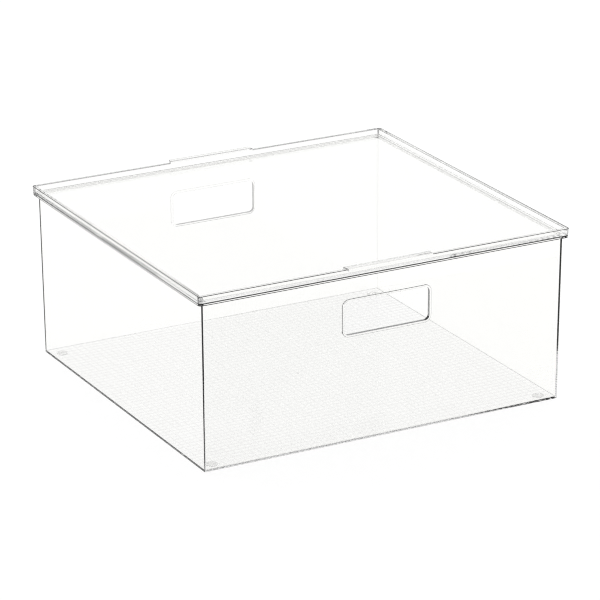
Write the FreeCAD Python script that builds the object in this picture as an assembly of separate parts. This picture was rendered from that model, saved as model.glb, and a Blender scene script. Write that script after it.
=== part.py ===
import FreeCAD, Part

import math
import os

# Clear stackable storage bin with a lift-off lid and four non-slip foot pads. Millimetres.
# Origin: on the floor plane, under the middle of the bin. X runs along the width and Y along the
# depth; the two handle openings are in the front (-Y) and back (+Y) walls. +Z is up.

# Bin, outside
BASE_WIDTH = 400.0
BASE_DEPTH = 371.0
WALL_LEAN = 0.0088
BODY_HEIGHT = 175.4
OUTER_CORNER = 1.0
BOTTOM_ROUND = 0.6

# Bin, moulded wall
WALL = 2.0
FLOOR = 2.2
INNER_CORNER = 0.4
FLOOR_ROUND = 0.3

# Outward flange round the mouth, which carries the lid
FLANGE_REACH = 4.6
FLANGE_THICK = 2.4
FLANGE_CORNER = 3.2
FLANGE_ROUND = 0.45

# Handle openings and the raised collar round each one
HANDLE_WIDTH = 95.5
HANDLE_HEIGHT = 35.0
HANDLE_CORNER = 5.0
HANDLE_CENTRE = 131.0
COLLAR_WIDTH = 2.2
COLLAR_RAISE = 1.4
COLLAR_ROUND = 0.5
HANDLE_ROUND = 0.3

# Moulding gate mark in the middle of the underside
GATE_DIAMETER = 3.2
GATE_DEPTH = 0.7

# Lid: a recessed plate inside a raised rim
PLATE = 2.0
RECESS_DEPTH = 5.4
LID_GAP = 0.05
RIM_SKIRT_OUT = 4.8
RIM_TOP_OUT = 5.2
RIM_LAND = 4.6
SKIRT_ROUND = 0.45
LID_CORNER = 3.5
RIM_ROUND = 0.5
RECESS_ROUND = 0.6
RECESS_CORNER = 1.2
RECESS_DRAFT = 0.2

# Locating rib under the plate, inside the bin's mouth
RIB_CLEARANCE = 0.65
RIB_DEPTH = 2.0
RIB_THICK = 1.5
RIB_CORNER = 3.0

# Finger tabs on the rim, above each handle
TAB_INNER_WIDTH = 97.0
TAB_OUTER_WIDTH = 94.0
TAB_RAISE = 2.2
TAB_REACH = 3.0
TAB_ROUND = 0.4

# Foot pads
PAD_DIAMETER = 12.0
PAD_HEIGHT = 1.0
PAD_ROUND = 0.25
PAD_INSET = 14.5

# Working values
HALF_WIDTH = BASE_WIDTH / 2
HALF_DEPTH = BASE_DEPTH / 2
BASE_Z = PAD_HEIGHT
MOUTH_Z = BASE_Z + BODY_HEIGHT
FLANGE_Z = MOUTH_Z - FLANGE_THICK
HANDLE_Z = BASE_Z + HANDLE_CENTRE
SKIRT_Z = MOUTH_Z + LID_GAP
PLATE_TOP_Z = SKIRT_Z + PLATE
RIM_TOP_Z = PLATE_TOP_Z + RECESS_DEPTH
OVERLAP = 1.0
CUT_THROUGH = 12.0
EDGE_TOLERANCE = 0.01


def vec(x, y, z):
    return FreeCAD.Vector(x, y, z)


def lean_at(z):
    """How far the bin's outside stands out from its base at height z."""
    return WALL_LEAN * (z - BASE_Z)


FLANGE_LEAN = lean_at(FLANGE_Z)


def rounded_wire(half_x, half_y, radius, place):
    """A closed rectangle with round corners; place turns its two coordinates into a point."""
    corners = [(1, 1, 0), (-1, 1, 1), (-1, -1, 2), (1, -1, 3)]
    arcs = []
    for side_x, side_y, quarter in corners:
        centre_x = side_x * (half_x - radius)
        centre_y = side_y * (half_y - radius)
        points = []
        for part in (0.0, 0.5, 1.0):
            angle = math.radians(90.0 * (quarter + part))
            points.append(place(centre_x + radius * math.cos(angle), centre_y + radius * math.sin(angle)))
        arcs.append(points)
    edges = []
    for index, points in enumerate(arcs):
        following = arcs[(index + 1) % len(arcs)]
        edges.append(Part.Arc(points[0], points[1], points[2]).toShape())
        edges.append(Part.LineSegment(points[2], following[0]).toShape())
    return Part.Wire(edges)


def level_wire(reach, radius, z):
    """The bin's rectangular outline at height z, moved outwards by reach."""
    return rounded_wire(HALF_WIDTH + reach, HALF_DEPTH + reach, radius, lambda x, y: vec(x, y, z))


def block(reach_low, z_low, reach_high, z_high, radius):
    """A solid with the bin's outline whose sides run straight from one level to another."""
    wires = [level_wire(reach_low, radius, z_low), level_wire(reach_high, radius, z_high)]
    return Part.makeLoft(wires, True, True)


def edges_at(shape, z, reach):
    """The edges at height z whose outline stands out by reach from the bin's base outline."""
    found = []
    for edge in shape.Edges:
        box = edge.BoundBox
        level = abs(box.ZMin - z) < EDGE_TOLERANCE and abs(box.ZMax - z) < EDGE_TOLERANCE
        far_x = max(abs(box.XMin), abs(box.XMax))
        far_y = max(abs(box.YMin), abs(box.YMax))
        on_x = abs(far_x - HALF_WIDTH - reach) < EDGE_TOLERANCE
        on_y = abs(far_y - HALF_DEPTH - reach) < EDGE_TOLERANCE
        if level and (on_x or on_y):
            found.append(edge)
    return found


def front_prism(half_x, half_z, radius, y_from, y_to):
    """A prism along Y with a rounded outline, centred on the front handle opening."""
    wire = rounded_wire(half_x, half_z, radius, lambda x, z: vec(x, y_from, HANDLE_Z + z))
    return Part.Face(wire).extrude(vec(0, y_to - y_from, 0))


def outline_edges(shape, y, half_x, half_z):
    """The edges of a handle outline that lie in the plane at y."""
    found = []
    for edge in shape.Edges:
        box = edge.BoundBox
        level = abs(box.YMin - y) < EDGE_TOLERANCE and abs(box.YMax - y) < EDGE_TOLERANCE
        far_x = max(abs(box.XMin), abs(box.XMax))
        far_z = max(abs(box.ZMin - HANDLE_Z), abs(box.ZMax - HANDLE_Z))
        on_x = abs(far_x - half_x) < EDGE_TOLERANCE
        on_z = abs(far_z - half_z) < EDGE_TOLERANCE
        if level and (on_x or on_z):
            found.append(edge)
    return found


def turned_half_way(shape):
    """A copy of a front feature, turned half round Z to make its twin at the back."""
    twin = shape.copy()
    twin.rotate(vec(0, 0, 0), vec(0, 0, 1), 180)
    return twin


def handle_collar():
    """Raised border round the front handle opening, on the outside of the wall."""
    wall_y = -(HALF_DEPTH + lean_at(HANDLE_Z))
    half_x = HANDLE_WIDTH / 2 + COLLAR_WIDTH
    half_z = HANDLE_HEIGHT / 2 + COLLAR_WIDTH
    face_y = wall_y - COLLAR_RAISE
    collar = front_prism(half_x, half_z, HANDLE_CORNER + COLLAR_WIDTH, wall_y + WALL / 2, face_y)
    return collar.makeFillet(COLLAR_ROUND, outline_edges(collar, face_y, half_x, half_z))


def bin_body():
    """One moulding: floor, four leaning walls, outward flange, handle collars and openings."""
    shell = block(0, BASE_Z, lean_at(MOUTH_Z), MOUTH_Z, OUTER_CORNER)
    shell = shell.makeFillet(BOTTOM_ROUND, edges_at(shell, BASE_Z, 0))
    reach = FLANGE_LEAN + FLANGE_REACH
    flange = block(reach, FLANGE_Z, reach, MOUTH_Z, FLANGE_CORNER)
    rims = edges_at(flange, FLANGE_Z, reach) + edges_at(flange, MOUTH_Z, reach)
    flange = flange.makeFillet(FLANGE_ROUND, rims)
    collar = handle_collar()
    body = shell.fuse([flange, collar, turned_half_way(collar)])
    floor_z = BASE_Z + FLOOR
    over_z = MOUTH_Z + OVERLAP
    floor_reach = lean_at(floor_z) - WALL
    cavity = block(floor_reach, floor_z, lean_at(over_z) - WALL, over_z, INNER_CORNER)
    cavity = cavity.makeFillet(FLOOR_ROUND, edges_at(cavity, floor_z, floor_reach))
    body = body.cut(cavity)
    wall_y = -(HALF_DEPTH + lean_at(HANDLE_Z))
    half_x = HANDLE_WIDTH / 2
    half_z = HANDLE_HEIGHT / 2
    slot = front_prism(half_x, half_z, HANDLE_CORNER, wall_y - CUT_THROUGH, wall_y + CUT_THROUGH)
    gate = Part.makeCylinder(GATE_DIAMETER / 2, GATE_DEPTH + OVERLAP, vec(0, 0, BASE_Z - OVERLAP))
    body = body.cut([slot, turned_half_way(slot), gate]).removeSplitter()
    face_y = wall_y - COLLAR_RAISE
    lips = outline_edges(body, face_y, half_x, half_z) + outline_edges(body, -face_y, half_x, half_z)
    return body.makeFillet(HANDLE_ROUND, lips)


def finger_tab():
    """Raised lip on the front of the lid's rim, reaching past the rim's outer face."""
    inner_y = -(HALF_DEPTH + FLANGE_LEAN + RIM_TOP_OUT - RIM_LAND)
    outer_y = -(HALF_DEPTH + FLANGE_LEAN + RIM_TOP_OUT + TAB_REACH)
    inner = TAB_INNER_WIDTH / 2
    outer = TAB_OUTER_WIDTH / 2
    outline = [(-inner, inner_y), (-outer, outer_y), (outer, outer_y), (inner, inner_y), (-inner, inner_y)]
    z = RIM_TOP_Z - RIM_ROUND
    wire = Part.makePolygon([vec(x, y, z) for x, y in outline])
    tab = Part.Face(wire).extrude(vec(0, 0, TAB_RAISE + RIM_ROUND))
    top_z = RIM_TOP_Z + TAB_RAISE
    tops = [edge for edge in tab.Edges if abs(edge.BoundBox.ZMin - top_z) < EDGE_TOLERANCE]
    return tab.makeFillet(TAB_ROUND, tops)


def rim_and_plate():
    """The lid without rib or tabs: a plate at the bottom of a broad raised rim."""
    skirt = FLANGE_LEAN + RIM_SKIRT_OUT
    top = FLANGE_LEAN + RIM_TOP_OUT
    inner = top - RIM_LAND
    over_z = RIM_TOP_Z + OVERLAP
    floor_reach = inner - RECESS_DRAFT
    over_reach = inner + RECESS_DRAFT * OVERLAP / RECESS_DEPTH
    recess = block(floor_reach, PLATE_TOP_Z, over_reach, over_z, RECESS_CORNER)
    recess = recess.makeFillet(RECESS_ROUND, edges_at(recess, PLATE_TOP_Z, floor_reach))
    outside = block(skirt, SKIRT_Z, top, RIM_TOP_Z, LID_CORNER)
    outside = outside.makeFillet(SKIRT_ROUND, edges_at(outside, SKIRT_Z, skirt)).cut(recess)
    land_edges = edges_at(outside, RIM_TOP_Z, top) + edges_at(outside, RIM_TOP_Z, inner)
    return outside.makeFillet(RIM_ROUND, land_edges)


def locating_rib():
    """Low rib under the plate that stands just inside the bin's mouth."""
    reach = lean_at(MOUTH_Z) - WALL - RIB_CLEARANCE
    low_z = SKIRT_Z - RIB_DEPTH
    high_z = SKIRT_Z + PLATE / 2
    outer_side = block(reach, low_z, reach, high_z, RIB_CORNER)
    inner_side = block(reach - RIB_THICK, low_z, reach - RIB_THICK, high_z, RIB_CORNER - RIB_THICK / 2)
    return outer_side.cut(inner_side)


def lid():
    """One moulding: plate, raised rim, locating rib underneath and two finger tabs."""
    tab = finger_tab()
    return rim_and_plate().fuse([tab, turned_half_way(tab), locating_rib()]).removeSplitter()


def foot_pad(side_x, side_y):
    """Round non-slip pad stuck to the underside near one corner."""
    centre = vec(side_x * (HALF_WIDTH - PAD_INSET), side_y * (HALF_DEPTH - PAD_INSET), 0)
    pad = Part.makeCylinder(PAD_DIAMETER / 2, PAD_HEIGHT, centre)
    rims = [edge for edge in pad.Edges if edge.BoundBox.ZMax < EDGE_TOLERANCE]
    return pad.makeFillet(PAD_ROUND, rims)


def build():
    shapes = {"bin_body": bin_body(), "lid": lid()}
    corners = {"front_left": (-1, -1), "front_right": (1, -1), "back_right": (1, 1), "back_left": (-1, 1)}
    for name, (side_x, side_y) in corners.items():
        shapes["foot_pad_" + name] = foot_pad(side_x, side_y)
    return shapes


os.makedirs("parts", exist_ok=True)
for node, shape in build().items():
    shape.exportStep("parts/" + node + ".step")
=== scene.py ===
import math

import bmesh
import bpy
from mathutils import Matrix, Vector


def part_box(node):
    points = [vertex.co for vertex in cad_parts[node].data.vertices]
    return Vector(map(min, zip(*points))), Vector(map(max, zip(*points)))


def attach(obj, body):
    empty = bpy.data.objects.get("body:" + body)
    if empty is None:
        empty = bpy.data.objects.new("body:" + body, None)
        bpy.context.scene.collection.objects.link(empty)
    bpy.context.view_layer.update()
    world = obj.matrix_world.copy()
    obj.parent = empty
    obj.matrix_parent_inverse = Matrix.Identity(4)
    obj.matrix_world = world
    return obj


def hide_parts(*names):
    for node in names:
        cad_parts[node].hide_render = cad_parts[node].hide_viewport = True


# Clear storage bin with a lift-off lid. Metres, Z up, in the CAD frame.
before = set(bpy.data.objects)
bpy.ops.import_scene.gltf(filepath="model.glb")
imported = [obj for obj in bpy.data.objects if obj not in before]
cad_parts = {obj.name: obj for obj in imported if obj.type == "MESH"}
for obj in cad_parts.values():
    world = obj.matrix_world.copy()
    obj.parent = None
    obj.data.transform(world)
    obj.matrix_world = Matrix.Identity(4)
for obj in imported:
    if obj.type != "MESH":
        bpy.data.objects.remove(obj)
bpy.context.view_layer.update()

MM = 0.001

# Bin section. Outward distances are from the wall's outer face where it meets the flange.
# A strip is a narrow band of a flat face, next to an edge, that takes the edge's painted shade.
WALL_LEAN = 0.0088
WALL = 2.0 * MM
FLOOR = 2.2 * MM
FLANGE_REACH = 4.6 * MM
FLANGE_THICK = 2.4 * MM
BOTTOM_ROUND = 0.6 * MM
FLOOR_ROUND = 0.3 * MM
EDGE_ROUND = 0.45 * MM
LOWER_STRIP = 0.95 * MM
UPPER_STRIP = 0.65 * MM
OUTER_CORNER = 1.0 * MM
INNER_CORNER = 0.4 * MM
FLANGE_CORNER = 3.2 * MM

# Hand openings and their raised collars
HAND_HALF = (47.75 * MM, 17.5 * MM)
HAND_CORNER = 5.0 * MM
HAND_ABOVE_BASE = 131.0 * MM
COLLAR_WIDTH = 2.2 * MM
COLLAR_RAISE = 1.4 * MM

# Lid section, its outward distances from the same wall face
PLATE = 2.0 * MM
RECESS_DEPTH = 5.4 * MM
SKIRT_OUT = 4.8 * MM
RIM_OUT = 5.19 * MM
RIM_LAND = 4.6 * MM
RIM_STRIP = 0.75 * MM
RIM_ROUND = 0.5 * MM
RECESS_ROUND = 0.6 * MM
RECESS_DRAFT = 0.2 * MM
RECESS_CORNER = 1.2 * MM
LID_CORNER = 3.5 * MM
RIB_CLEARANCE = 0.65 * MM
RIB_DEPTH = 2.0 * MM
RIB_THICK = 1.5 * MM
RIB_CORNER = 3.0 * MM

# Finger tabs
TAB_INNER_HALF = 48.5 * MM
TAB_OUTER_HALF = 47.0 * MM
TAB_ROUND = 0.4 * MM

# Square grain moulded into the bin's floor
GRAIN_PITCH = 7.25 * MM
GRAIN_HEIGHT = 0.15 * MM
ROW_GROOVE = 1.2 * MM
COLUMN_GROOVE = 0.8 * MM
GRAIN_MARGIN = 0.8 * MM

# Moulding gate mark
GATE_RADIUS = 1.6 * MM
GATE_DEPTH = 0.7 * MM
GATE_SIDES = 24

# Foot pads
PAD_ROUND = 0.25 * MM
PAD_DISH = 0.1 * MM
PAD_GLUE = 0.04 * MM
PAD_BEVEL = 0.1 * MM
PAD_SIDES = 48

# Meshing. Between the two band heights a clear band's corner arcs take the soft painted shade.
CORNER_STEPS = 6
ROUND_STEPS = 4
ROUND_PROFILE = 0.5
ROUNDING_SHARE = 0.49
CAP_INSET = 4.0 * MM
TALL_BAND = 50.0 * MM
SHORT_BAND = 0.5 * MM
SMOOTH_ANGLE = math.radians(25)
FACE_AREA_WEIGHT = 100
CUT_REACH = 5 * WALL

# Painted shade. A shade is the darker tint painted on an edge or groove, from black to white, and a clarity is
# the clear share of its plastic.
PLASTIC_IOR = 1.5
PLASTIC_TINT = (0.985, 0.985, 0.977, 1)
FLOW_SCALE = 25.0
FLOW_DETAIL = 2.0
FLOW_ROUGHNESS = (0.0, 0.01)
FLOW_WAVE = 0.01 * MM
EDGE_SCALE = 60.0
EDGE_DETAIL = 3.0
EDGE_VARIATION = 0.1
EDGE_ROUGHNESS = (0.0, 0.06)
EDGE_WAVE = 0.005 * MM
EDGE_PAINTED_SHADE = 0.01
EDGE_CLARITY = 0.95
SOFT_PAINTED_SHADE = 0.55
SOFT_CLARITY = 0.8
FAINT_PAINTED_SHADE = 0.7
GROOVE_PAINTED_SHADE = 0.9
JAMB_PAINTED_SHADE = 0.1
JAMB_CLARITY = 0.9
PAD_TINT = (1.0, 1.0, 1.0, 1)
PAD_IOR = 1.41
PAD_CLARITY = 0.95
PAD_SCALE = 900.0
PAD_ROUGHNESS = (0.15, 0.3)
PAD_WAVE = 0.02 * MM

# Studio. The sky is dimmed round two directions, between two cosines of the angle from each.
FLOOR_HALF = 100.0
FLOOR_BELOW_PADS = 0.05 * MM
FLOOR_GREY = (0.15, 0.15, 0.15, 1)
FLOOR_ROUGHNESS = 0.6
FLOOR_GLOW = 0.93
WHITE = (1, 1, 1, 1)
FRONT_AZIMUTH = math.radians(-28)
FRONT_ELEVATION = math.radians(15)
FRONT_COSINES = (-0.2, 0.3)
FRONT_LEVEL = 0.5
ZENITH = math.radians(90)
TOP_COSINES = (0.45, 0.65)
TOP_LEVEL = 0.5

# Render
BOUNCES = 54
PIXEL_FILTER = 1.1

# Camera. Seen from it, the middle of the bin's base lies ASIDE to the right and UPWARD above its line of sight.
AZIMUTH = math.radians(-28.179)
ELEVATION = math.radians(20.188)
ROLL = math.radians(-0.271)
FOCAL = 210.855
SENSOR = 36
ASIDE = -0.0039744
UPWARD = -0.0763812
DISTANCE = 3.625548
IMAGE_SIZE = 600
HALF_PIXEL = 0.5 / IMAGE_SIZE
CLIP_END = 300

BIN_LOW, BIN_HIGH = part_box("bin_body")
LID_LOW, LID_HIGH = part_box("lid")
PAD_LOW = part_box("foot_pad_front_left")[0]
WALL_X = BIN_HIGH.x - FLANGE_REACH
WALL_Y = BIN_HIGH.y - FLANGE_REACH
FLANGE_Z = BIN_HIGH.z - FLANGE_THICK
PLATE_Z = LID_LOW.z + RIB_DEPTH
RIM_Z = PLATE_Z + PLATE + RECESS_DEPTH
HAND_Z = BIN_LOW.z + HAND_ABOVE_BASE


def lean(z):
    """How far the wall's outer face at height z stands out from where it meets the flange."""
    return WALL_LEAN * (z - FLANGE_Z)


def corner_points(half_x, half_y, radius):
    """Points round a rectangle with round corners."""
    centres = ((1, 1, 0), (-1, 1, 1), (-1, -1, 2), (1, -1, 3))
    points = []
    for side_x, side_y, quarter in centres:
        for step in range(CORNER_STEPS + 1):
            angle = math.pi / 2 * (quarter + step / CORNER_STEPS)
            x = side_x * (half_x - radius) + radius * math.cos(angle)
            y = side_y * (half_y - radius) + radius * math.sin(angle)
            points.append((x, y))
    return points


# Plastic numbers. All but CLEAR carry a painted shade; GRAIN is the one in the floor's grooves.
CLEAR = 0
EDGE = 1
SOFT = 2
FAINT = 3
GRAIN = 4
JAMB = 5


def rounded_section(section):
    """A section of (out, z, corner, rounding, painted shade) points with each rounding turned into an arc.

    A point with no rounding only marks where a straight face changes its painted shade.
    The painted shade of a result point is that of the band from it to the next point."""
    result = [section[0][:3] + (CLEAR,)]
    for before, here, after in zip(section, section[1:], section[2:]):
        if here[3] is None:
            result.append(here[:3] + (here[4],))
            continue
        point = Vector(here[:2])
        to_before = Vector(before[:2]) - point
        to_after = Vector(after[:2]) - point
        angle = to_before.angle(to_after)
        room = ROUNDING_SHARE * min(to_before.length, to_after.length)
        reach = min(here[3] / math.tan(angle / 2), room)
        radius = reach * math.tan(angle / 2)
        middle = (to_before.normalized() + to_after.normalized()).normalized()
        centre = point + middle * (radius / math.sin(angle / 2))
        start = point + to_before.normalized() * reach - centre
        turn = start.angle_signed(point + to_after.normalized() * reach - centre)
        for step in range(ROUND_STEPS + 1):
            spoke = start.copy()
            spoke.rotate(Matrix.Rotation(-turn * step / ROUND_STEPS, 2))
            painted_shade = here[4] if step < ROUND_STEPS or after[3] is None else CLEAR
            result.append((centre.x + spoke.x, centre.y + spoke.y, here[2], painted_shade))
    result.append(section[-1][:3] + (CLEAR,))
    return result


def new_object(name, mesh):
    piece = bpy.data.objects.new(name, mesh)
    bpy.context.scene.collection.objects.link(piece)
    return piece


def mesh_from(bm, name, materials=()):
    bmesh.ops.recalc_face_normals(bm, faces=bm.faces)
    mesh = bpy.data.meshes.new(name)
    bm.to_mesh(mesh)
    bm.free()
    for material in materials:
        mesh.materials.append(material)
    return mesh


def smooth(piece):
    """Smooth shading in which the flat faces keep their own normals and the roundings take up the turn."""
    mesh = piece.data
    mesh.polygons.foreach_set("use_smooth", [True] * len(mesh.polygons))
    mesh.set_sharp_from_angle(angle=SMOOTH_ANGLE)
    modifier = piece.modifiers.new("flat_faces", "WEIGHTED_NORMAL")
    modifier.mode = "FACE_AREA"
    modifier.weight = FACE_AREA_WEIGHT
    modifier.keep_sharp = True
    keep_modified(piece, modifier)


def swept_loops(bm, section):
    """The section carried round the bin's rectangle. Returns the first and last loops."""
    loops = []
    bands = rounded_section(section)
    for out, z, corner, _ in bands:
        points = corner_points(WALL_X + out, WALL_Y + out, corner)
        loops.append([bm.verts.new((x, y, z)) for x, y in points])
    for low, high, band, following_band in zip(loops, loops[1:], bands, bands[1:]):
        rise = abs(following_band[1] - band[1])
        corner_painted_shade = CLEAR if rise > TALL_BAND or rise < SHORT_BAND else SOFT
        for index in range(len(low)):
            following = (index + 1) % len(low)
            face = bm.faces.new((low[index], low[following], high[following], high[index]))
            turning = index % (CORNER_STEPS + 1) < CORNER_STEPS
            face.material_index = corner_painted_shade if turning and band[3] == CLEAR else band[3]
    return loops[0], loops[-1]


def grain_lines(reach, groove):
    """Positions across the grain, from -reach to reach, with a flag for those on a pillow's raised middle."""
    cells = round(2 * reach / GRAIN_PITCH)
    pitch = 2 * reach / cells
    lines = []
    for cell in range(cells):
        start = cell * pitch - reach
        lines += [(start, False), (start + groove, True), (start + pitch - groove, True)]
    lines.append((reach, False))
    return lines


def grained_floor(bm, rim, z):
    """Closes the loop rim at height z with a floor of small square pillows, the grooves between them with a
    painted shade.
    """
    inside_x = WALL_X + lean(z) - WALL - GRAIN_MARGIN
    inside_y = WALL_Y + lean(z) - WALL - GRAIN_MARGIN
    columns = grain_lines(inside_x, COLUMN_GROOVE)
    rows = []
    for y, y_raised in grain_lines(inside_y, ROW_GROOVE):
        row = []
        for x, x_raised in columns:
            row.append(bm.verts.new((x, y, z + (GRAIN_HEIGHT if x_raised and y_raised else 0.0))))
        rows.append(row)
    for low, high in zip(rows, rows[1:]):
        for i in range(len(columns) - 1):
            face = bm.faces.new((low[i], low[i + 1], high[i + 1], high[i]))
            corners = [vert.co.z > z + GRAIN_HEIGHT / 2 for vert in face.verts]
            # Groove faces take the painted shade.
            face.material_index = CLEAR if all(corners) else GRAIN
    sides = (rows[-1][::-1], [row[0] for row in rows[::-1]], rows[0], [row[-1] for row in rows])
    for quarter, side in enumerate(sides):
        arc = rim[quarter * (CORNER_STEPS + 1):(quarter + 1) * (CORNER_STEPS + 1)]
        following = rim[(quarter + 1) * (CORNER_STEPS + 1) % len(rim)]
        bm.faces.new(arc + [side[0]])
        bm.faces.new([arc[-1], following] + side[::-1])


def prism(name, half_x, half_z, corner, y_from, y_to, rounding=0.0):
    """A prism along Y with round corners, centred on a hand opening; its outer rim may be rounded."""
    sign = math.copysign(1, y_to)
    layers = [(0.0, y_from)]
    if rounding > 0:
        for step in range(ROUND_STEPS + 1):
            angle = math.pi / 2 * step / ROUND_STEPS
            layers.append((rounding * (1 - math.cos(angle)), y_to - sign * rounding * (1 - math.sin(angle))))
    else:
        layers.append((0.0, y_to))
    bm = bmesh.new()
    loops = []
    for inset, y in layers:
        points = corner_points(half_x - inset, half_z - inset, corner - inset)
        loops.append([bm.verts.new((x, y, HAND_Z + z)) for x, z in points])
    for level, (low, high) in enumerate(zip(loops, loops[1:])):
        for index in range(len(low)):
            following = (index + 1) % len(low)
            face = bm.faces.new((low[index], low[following], high[following], high[index]))
            # The opening's sides and the collar's rounded rim take the opening's painted shade.
            face.material_index = JAMB if level > 0 or rounding == 0 else CLEAR
    bm.faces.new(loops[0])
    bm.faces.new(loops[-1])
    return new_object(name, mesh_from(bm, name, PLASTICS_BY_PAINTED_SHADE))


def keep_modified(piece, modifier):
    """Makes a modifier's result the piece's own mesh."""
    depsgraph = bpy.context.evaluated_depsgraph_get()
    mesh = bpy.data.meshes.new_from_object(piece.evaluated_get(depsgraph))
    piece.modifiers.remove(modifier)
    piece.data = mesh


def gate_cutter():
    """A short round plug that leaves the moulding gate's mark in the middle of the underside, its side with a
    faint painted shade.
    """
    bm = bmesh.new()
    points = []
    for step in range(GATE_SIDES):
        angle = math.tau * step / GATE_SIDES
        points.append((GATE_RADIUS * math.cos(angle), GATE_RADIUS * math.sin(angle)))
    ends = []
    for z in (BIN_LOW.z - GATE_DEPTH, BIN_LOW.z + GATE_DEPTH):
        ends.append([bm.verts.new((x, y, z)) for x, y in points])
    low, high = ends
    for index in range(len(low)):
        following = (index + 1) % len(low)
        bm.faces.new((low[index], low[following], high[following], high[index])).material_index = FAINT
    bm.faces.new(low)
    bm.faces.new(high)
    return new_object("gate", mesh_from(bm, "gate", PLASTICS_BY_PAINTED_SHADE))


def combine(piece, other, operation):
    """Joins another solid to piece, or cuts it away, and takes the other solid out of the scene."""
    modifier = piece.modifiers.new("combine", "BOOLEAN")
    modifier.operation = operation
    modifier.solver = "EXACT"
    modifier.object = other
    keep_modified(piece, modifier)
    bpy.data.objects.remove(other)


def bin_body():
    floor_z = BIN_LOW.z + FLOOR
    # The bottom rounding and the floor fillet take the soft painted shade, the flange's edges and strips the
    # dark one.
    section = [
        (lean(BIN_LOW.z) - CAP_INSET, BIN_LOW.z, OUTER_CORNER, 0, CLEAR),
        (lean(BIN_LOW.z), BIN_LOW.z, OUTER_CORNER, BOTTOM_ROUND, SOFT),
        (0, FLANGE_Z, OUTER_CORNER, EDGE_ROUND, CLEAR),
        (FLANGE_REACH, FLANGE_Z, FLANGE_CORNER, EDGE_ROUND, EDGE),
        (FLANGE_REACH, FLANGE_Z + LOWER_STRIP, FLANGE_CORNER, None, CLEAR),
        (FLANGE_REACH, BIN_HIGH.z - UPPER_STRIP, FLANGE_CORNER, None, EDGE),
        (FLANGE_REACH, BIN_HIGH.z, FLANGE_CORNER, EDGE_ROUND, EDGE),
        (lean(BIN_HIGH.z) - WALL, BIN_HIGH.z, INNER_CORNER, EDGE_ROUND, CLEAR),
        (lean(floor_z) - WALL, floor_z, INNER_CORNER, FLOOR_ROUND, SOFT),
        (lean(floor_z) - WALL - GRAIN_MARGIN / 2, floor_z, INNER_CORNER, 0, CLEAR),
    ]
    bm = bmesh.new()
    under, inside = swept_loops(bm, section)
    bm.faces.new(under)
    grained_floor(bm, inside, floor_z)
    piece = new_object("clear_bin", mesh_from(bm, "clear_bin", PLASTICS_BY_PAINTED_SHADE))
    combine(piece, gate_cutter(), "DIFFERENCE")
    wall_y = WALL_Y + lean(HAND_Z)
    for side in (-1, 1):
        half_x = HAND_HALF[0] + COLLAR_WIDTH
        half_z = HAND_HALF[1] + COLLAR_WIDTH
        corner = HAND_CORNER + COLLAR_WIDTH
        inner_y = side * (wall_y - WALL / 2)
        collar = prism("collar", half_x, half_z, corner, inner_y, side * (wall_y + COLLAR_RAISE), EDGE_ROUND)
        combine(piece, collar, "UNION")
        cut = (side * (wall_y - CUT_REACH), side * (wall_y + CUT_REACH))
        opening = prism("opening", *HAND_HALF, HAND_CORNER, *cut)
        combine(piece, opening, "DIFFERENCE")
    smooth(piece)
    return piece


def finger_tab(side):
    """Raised lip on the lid's rim, its upper edge rounded."""
    inner_y = side * (WALL_Y + RIM_OUT - RIM_LAND)
    outer_y = side * LID_HIGH.y
    outline = [
        (-TAB_INNER_HALF, inner_y),
        (-TAB_OUTER_HALF, outer_y),
        (TAB_OUTER_HALF, outer_y),
        (TAB_INNER_HALF, inner_y),
    ]
    bm = bmesh.new()
    low = [bm.verts.new((x, y, RIM_Z - RIM_ROUND)) for x, y in outline]
    high = [bm.verts.new((x, y, LID_HIGH.z)) for x, y in outline]
    for index in range(len(low)):
        following = (index + 1) % len(low)
        bm.faces.new((low[index], low[following], high[following], high[index]))
    bm.faces.new(low)
    top = bm.faces.new(high)
    bmesh.ops.recalc_face_normals(bm, faces=bm.faces)
    rim = list(top.edges)
    bmesh.ops.bevel(
        bm, geom=rim, offset=TAB_ROUND, segments=ROUND_STEPS, affect="EDGES", profile=ROUND_PROFILE)
    return new_object("tab", mesh_from(bm, "tab", PLASTICS_BY_PAINTED_SHADE))


def lid():
    rib_out = lean(BIN_HIGH.z) - WALL - RIB_CLEARANCE
    rib_in = rib_out - RIB_THICK
    plate_top = PLATE_Z + PLATE
    land_in = RIM_OUT - RIM_LAND
    strip_out = SKIRT_OUT + (RIM_OUT - SKIRT_OUT) * UPPER_STRIP / (RIM_Z - PLATE_Z)
    # The skirt's lower edge and the rim's outer edge, each with its strip, take the dark painted shade, the
    # land's inner edge the faint one.
    section = [
        (rib_in - CAP_INSET, PLATE_Z, RIB_CORNER, 0, CLEAR),
        (rib_in, PLATE_Z, RIB_CORNER, EDGE_ROUND, CLEAR),
        (rib_in, LID_LOW.z, RIB_CORNER, EDGE_ROUND, CLEAR),
        (rib_out, LID_LOW.z, RIB_CORNER, EDGE_ROUND, CLEAR),
        (rib_out, PLATE_Z, RIB_CORNER, EDGE_ROUND, CLEAR),
        (SKIRT_OUT, PLATE_Z, LID_CORNER, EDGE_ROUND, EDGE),
        (strip_out, PLATE_Z + UPPER_STRIP, LID_CORNER, None, CLEAR),
        (RIM_OUT, RIM_Z, LID_CORNER, RIM_ROUND, EDGE),
        (RIM_OUT - RIM_STRIP, RIM_Z, LID_CORNER, None, CLEAR),
        (land_in, RIM_Z, RECESS_CORNER, RIM_ROUND, FAINT),
        (land_in - RECESS_DRAFT, plate_top, RECESS_CORNER, RECESS_ROUND, CLEAR),
        (rib_in - CAP_INSET, plate_top, RECESS_CORNER, 0, CLEAR),
    ]
    bm = bmesh.new()
    under, over = swept_loops(bm, section)
    bm.faces.new(under)
    bm.faces.new(over)
    piece = new_object("clear_lid", mesh_from(bm, "clear_lid", PLASTICS_BY_PAINTED_SHADE))
    for side in (-1, 1):
        combine(piece, finger_tab(side), "UNION")
    smooth(piece)
    return piece


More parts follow.
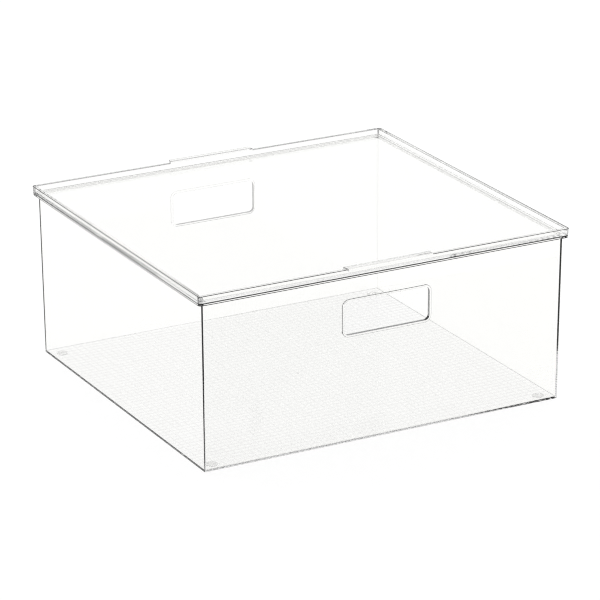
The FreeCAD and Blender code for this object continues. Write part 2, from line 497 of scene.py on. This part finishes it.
def foot_pad(node):
    """A round pad with a rounded lower rim and a slightly dished face, turned from its section."""
    low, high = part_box(node)
    middle = (low + high) / 2
    radius = (high.x - low.x) / 2
    top = high.z - PAD_GLUE
    profile = [(radius / 2, low.z + PAD_DISH), (radius - 2 * PAD_ROUND, low.z)]
    for step in range(ROUND_STEPS + 1):
        angle = math.pi / 2 * step / ROUND_STEPS
        reach = radius - PAD_ROUND * (1 - math.sin(angle))
        profile.append((reach, low.z + PAD_ROUND * (1 - math.cos(angle))))
    profile += [(radius, top - PAD_BEVEL), (radius - PAD_BEVEL, top)]
    bm = bmesh.new()
    loops = []
    for reach, z in profile:
        loop = []
        for step in range(PAD_SIDES):
            angle = math.tau * step / PAD_SIDES
            x = middle.x + reach * math.cos(angle)
            y = middle.y + reach * math.sin(angle)
            loop.append(bm.verts.new((x, y, z)))
        loops.append(loop)
    for lower, upper in zip(loops, loops[1:]):
        for index in range(PAD_SIDES):
            following = (index + 1) % PAD_SIDES
            bm.faces.new((lower[index], lower[following], upper[following], upper[index]))
    bm.faces.new(loops[0])
    bm.faces.new(loops[-1])
    pad = new_object("visible_" + node, mesh_from(bm, "visible_" + node, [RUBBER]))
    smooth(pad)
    return pad


def shader(name):
    """A new material, its node tree and its Principled shader."""
    material = bpy.data.materials.new(name)
    material.use_nodes = True
    return material, material.node_tree, material.node_tree.nodes["Principled BSDF"]


def object_noise(tree, scale, detail):
    place = tree.nodes.new("ShaderNodeTexCoord")
    noise = tree.nodes.new("ShaderNodeTexNoise")
    noise.inputs["Scale"].default_value = scale
    noise.inputs["Detail"].default_value = detail
    tree.links.new(place.outputs["Object"], noise.inputs["Vector"])
    return noise.outputs["Fac"]


def mapped(tree, value, low, high):
    node = tree.nodes.new("ShaderNodeMapRange")
    node.inputs["To Min"].default_value = low
    node.inputs["To Max"].default_value = high
    tree.links.new(value, node.inputs["Value"])
    return node.outputs["Result"]


def uneven(tree, plastic, scale, roughness, wave):
    """Faint unevenness of a moulded face: a little roughness and shallow waves, both from noise."""
    flow = object_noise(tree, scale, FLOW_DETAIL)
    tree.links.new(mapped(tree, flow, *roughness), plastic.inputs["Roughness"])
    bump = tree.nodes.new("ShaderNodeBump")
    bump.inputs["Strength"].default_value = 1.0
    bump.inputs["Distance"].default_value = wave
    tree.links.new(flow, bump.inputs["Height"])
    tree.links.new(bump.outputs["Normal"], plastic.inputs["Normal"])


def edge_painted_shade_plastic(name, shade, through, outside_only=False):
    """The same plastic on its edges and grooves with a painted shade, a darker tint standing in for light they
    bend aside.

    With outside_only the tint acts on light coming in, and not on light already inside the plastic."""
    material, tree, plastic = shader(name)
    tone = tree.nodes.new("ShaderNodeCombineColor")
    mottle = object_noise(tree, EDGE_SCALE, EDGE_DETAIL)
    grey = mapped(tree, mottle, shade * (1 - EDGE_VARIATION), shade)
    if outside_only:
        facing = tree.nodes.new("ShaderNodeNewGeometry")
        either = tree.nodes.new("ShaderNodeMath")
        either.operation = "MAXIMUM"
        tree.links.new(facing.outputs["Backfacing"], either.inputs[0])
        tree.links.new(grey, either.inputs[1])
        grey = either.outputs["Value"]
    for channel in ("Red", "Green", "Blue"):
        tree.links.new(grey, tone.inputs[channel])
    tree.links.new(tone.outputs["Color"], plastic.inputs["Base Color"])
    plastic.inputs["Transmission Weight"].default_value = through
    plastic.inputs["IOR"].default_value = PLASTIC_IOR
    uneven(tree, plastic, EDGE_SCALE, EDGE_ROUGHNESS, EDGE_WAVE)
    return material


def clear_plastic(name):
    """Clear moulded plastic: smooth, faintly tinted, with faint flow unevenness."""
    material, tree, plastic = shader(name)
    plastic.inputs["Base Color"].default_value = PLASTIC_TINT
    plastic.inputs["Transmission Weight"].default_value = 1.0
    plastic.inputs["IOR"].default_value = PLASTIC_IOR
    uneven(tree, plastic, FLOW_SCALE, FLOW_ROUGHNESS, FLOW_WAVE)
    return material


def pad_rubber():
    """Translucent soft plastic with a satin face."""
    material, tree, rubber = shader("pad_rubber")
    rubber.inputs["Base Color"].default_value = PAD_TINT
    rubber.inputs["Transmission Weight"].default_value = PAD_CLARITY
    rubber.inputs["IOR"].default_value = PAD_IOR
    uneven(tree, rubber, PAD_SCALE, PAD_ROUGHNESS, PAD_WAVE)
    return material


# The visible pieces, with the clear plastic and the plastics with painted shade in the order of their numbers
PLASTICS_BY_PAINTED_SHADE = (
    clear_plastic("clear_plastic"),
    edge_painted_shade_plastic("edge_painted_shade_plastic", EDGE_PAINTED_SHADE, EDGE_CLARITY, True),
    edge_painted_shade_plastic("soft_edge_painted_shade_plastic", SOFT_PAINTED_SHADE, SOFT_CLARITY),
    edge_painted_shade_plastic("faint_edge_painted_shade_plastic", FAINT_PAINTED_SHADE, 1.0),
    edge_painted_shade_plastic("groove_painted_shade_plastic", GROOVE_PAINTED_SHADE, 1.0),
    edge_painted_shade_plastic("opening_edge_painted_shade_plastic", JAMB_PAINTED_SHADE, JAMB_CLARITY, True),
)
body = bin_body()
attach(body, "bin")
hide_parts("bin_body")

cover = lid()
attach(cover, "lid")
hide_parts("lid")

RUBBER = pad_rubber()
for name in list(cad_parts):
    if name.startswith("foot_pad"):
        pad = foot_pad(name)
        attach(pad, "bin")
        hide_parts(name)

# Floor
bm = bmesh.new()
for x, y in ((-1, -1), (1, -1), (1, 1), (-1, 1)):
    bm.verts.new((x * FLOOR_HALF, y * FLOOR_HALF, PAD_LOW.z - FLOOR_BELOW_PADS))
bm.faces.new(bm.verts)
floor = new_object("floor", mesh_from(bm, "floor"))
material, tree, pale = shader("floor")
pale.inputs["Base Color"].default_value = FLOOR_GREY
pale.inputs["Roughness"].default_value = FLOOR_ROUGHNESS
pale.inputs["Emission Color"].default_value = WHITE
pale.inputs["Emission Strength"].default_value = FLOOR_GLOW
floor.data.materials.append(material)

# Studio light
world = bpy.data.worlds.new("studio")
bpy.context.scene.world = world
world.use_nodes = True
background = world.node_tree.nodes["Background"]
background.inputs["Strength"].default_value = 1.0


def pointing(azimuth, elevation):
    """The direction at an azimuth from the front and an elevation."""
    return Vector((
        math.sin(azimuth) * math.cos(elevation),
        -math.cos(azimuth) * math.cos(elevation),
        math.sin(elevation),
    ))


def dimmed_towards(tree, direction, cosines, level):
    """One over most of the sky, falling to level round one direction."""
    place = tree.nodes.new("ShaderNodeTexCoord")
    along = tree.nodes.new("ShaderNodeVectorMath")
    along.operation = "DOT_PRODUCT"
    along.inputs[1].default_value = direction
    tree.links.new(place.outputs["Generated"], along.inputs[0])
    shade = tree.nodes.new("ShaderNodeMapRange")
    shade.interpolation_type = "SMOOTHSTEP"
    shade.inputs["From Min"].default_value = cosines[0]
    shade.inputs["From Max"].default_value = cosines[1]
    shade.inputs["To Min"].default_value = 1
    shade.inputs["To Max"].default_value = level
    tree.links.new(along.outputs["Value"], shade.inputs["Value"])
    return shade.outputs["Result"]


sky = world.node_tree
front_shade = dimmed_towards(sky, pointing(FRONT_AZIMUTH, FRONT_ELEVATION), FRONT_COSINES, FRONT_LEVEL)
top_shade = dimmed_towards(sky, pointing(0, ZENITH), TOP_COSINES, TOP_LEVEL)
both = sky.nodes.new("ShaderNodeMath")
both.operation = "MULTIPLY"
sky.links.new(front_shade, both.inputs[0])
sky.links.new(top_shade, both.inputs[1])
sky.links.new(both.outputs["Value"], background.inputs["Color"])

# Tone and light paths
scene = bpy.context.scene
scene.view_settings.view_transform = "Standard"
scene.cycles.max_bounces = BOUNCES
scene.cycles.glossy_bounces = BOUNCES
scene.cycles.transmission_bounces = BOUNCES
scene.cycles.filter_width = PIXEL_FILTER

# Camera
back = pointing(AZIMUTH, ELEVATION)
level = Vector((math.cos(AZIMUTH), math.sin(AZIMUTH), 0))
above = back.cross(level)
right = math.cos(ROLL) * level + math.sin(ROLL) * above
up = -math.sin(ROLL) * level + math.cos(ROLL) * above
place = back * DISTANCE - right * ASIDE - up * UPWARD + Vector((0, 0, BIN_LOW.z))
lens = bpy.data.cameras.new("camera")
lens.sensor_width = SENSOR
lens.lens = FOCAL
lens.shift_x = -HALF_PIXEL
lens.shift_y = HALF_PIXEL
lens.clip_end = CLIP_END
camera = bpy.data.objects.new("camera", lens)
bpy.context.scene.collection.objects.link(camera)
camera.matrix_world = Matrix((
    (right.x, up.x, back.x, place.x),
    (right.y, up.y, back.y, place.y),
    (right.z, up.z, back.z, place.z),
    (0, 0, 0, 1)))
bpy.context.scene.camera = camera
